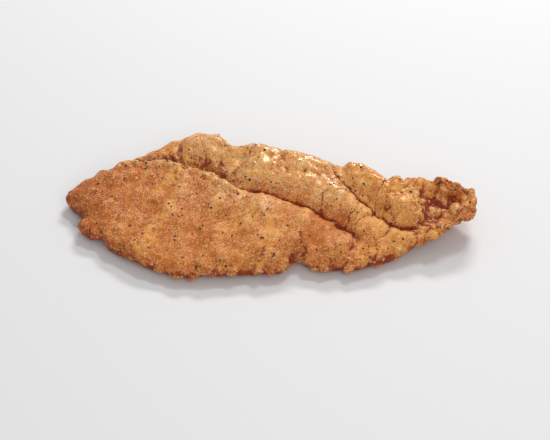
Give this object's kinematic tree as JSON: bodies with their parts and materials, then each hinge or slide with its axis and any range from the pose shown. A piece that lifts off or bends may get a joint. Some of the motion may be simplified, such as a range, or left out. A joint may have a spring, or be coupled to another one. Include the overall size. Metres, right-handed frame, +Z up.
{
  "type": "fried fish fillet",
  "caption": "Leaf-shaped fried fish fillet in a craggy golden crust, with a slanting crease between belly and loin and a tail that curls up.",
  "frame": {"origin": "on the surface that the fillet rests on, under the middle of its box", "axes": "+X along the fillet towards the tail, +Y across it towards the thick back edge, +Z up"},
  "size_m": [0.2066, 0.1026, 0.0271],
  "materials": {
    "crust": "matte, granular fried flour crust"
  },
  "bodies": {
    "root": {"fillet": "crust"}
  },
  "joints": []
}
